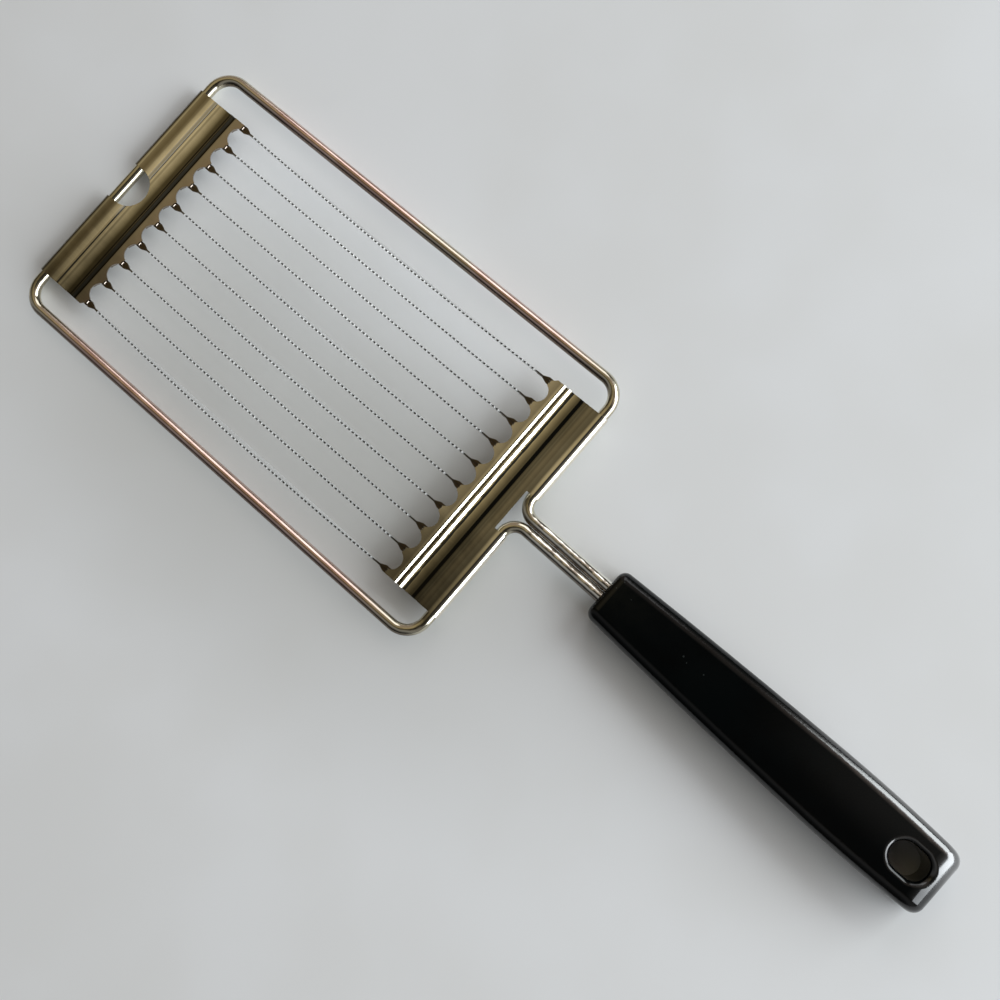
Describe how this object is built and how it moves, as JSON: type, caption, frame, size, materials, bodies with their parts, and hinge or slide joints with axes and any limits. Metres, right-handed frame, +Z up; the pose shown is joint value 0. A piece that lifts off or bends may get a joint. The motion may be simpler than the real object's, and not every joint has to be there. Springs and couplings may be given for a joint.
{
  "type": "tomato slicer",
  "caption": "Hand slicer with a bent wire frame, parallel serrated blades hooked between two sheet brackets, and a moulded handle with a hanging hole.",
  "frame": {"origin": "middle of the underside of the whole slicer's box, on the surface it lies on", "axes": "+X from the frame towards the handle, +Y across the frame, +Z up from the surface it lies on"},
  "size_m": [0.3158, 0.0976, 0.0152],
  "materials": {
    "wire": "bright plated wire",
    "bracket": "bright plated sheet",
    "blade": "ground steel",
    "handle": "glossy moulding"
  },
  "bodies": {
    "root": {"frame_wire": "wire", "far_bracket": "bracket", "near_bracket": "bracket", "blade_01": "blade", "blade_02": "blade", "blade_03": "blade", "blade_04": "blade", "blade_05": "blade", "blade_06": "blade", "blade_07": "blade", "blade_08": "blade", "blade_09": "blade", "blade_10": "blade", "handle": "handle"}
  },
  "joints": []
}
